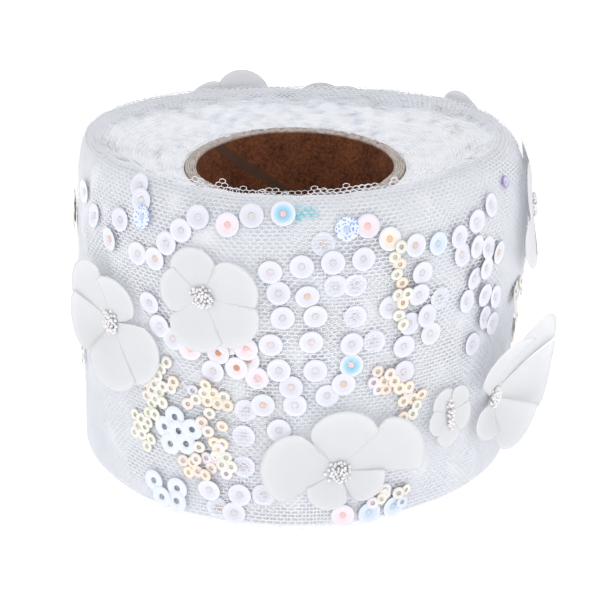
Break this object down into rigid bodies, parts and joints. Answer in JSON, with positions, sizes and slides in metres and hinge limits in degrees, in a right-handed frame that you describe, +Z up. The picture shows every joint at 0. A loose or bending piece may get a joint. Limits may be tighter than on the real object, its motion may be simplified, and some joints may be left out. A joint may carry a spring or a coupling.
{
  "type": "sequin tulle ribbon roll",
  "caption": "White net ribbon with sequins and sewn cloth flowers, wound on a cardboard core and standing on its end.",
  "frame": {"origin": "bottom centre of the roll's bounding box, on the surface it stands on; the core's axis stands 5.2 mm to its left, because the sewn petals reach farther on the right", "axes": "+Z up along the core's axis; -Y is the front, the side that the picture shows; +X is to its right"},
  "size_m": [0.1272, 0.12, 0.0864],
  "materials": {
    "cardboard": "brown kraft paper tube, matt, grey at its cut ends",
    "sequin_net": "white net with clear pearly sequins",
    "petal_cloth": "sheer matt white petals"
  },
  "bodies": {
    "root": {"core_tube": "cardboard", "wound_roll": "sequin_net", "flower_left": "petal_cloth", "flower_upper": "petal_cloth", "flower_lower": "petal_cloth", "flower_right": "petal_cloth", "flower_small": "petal_cloth", "flower_high": "petal_cloth", "flower_back_1": "petal_cloth", "flower_back_2": "petal_cloth", "flower_back_3": "petal_cloth", "flower_back_4": "petal_cloth", "flower_back_5": "petal_cloth", "flower_back_6": "petal_cloth", "flower_back_7": "petal_cloth"}
  },
  "joints": []
}
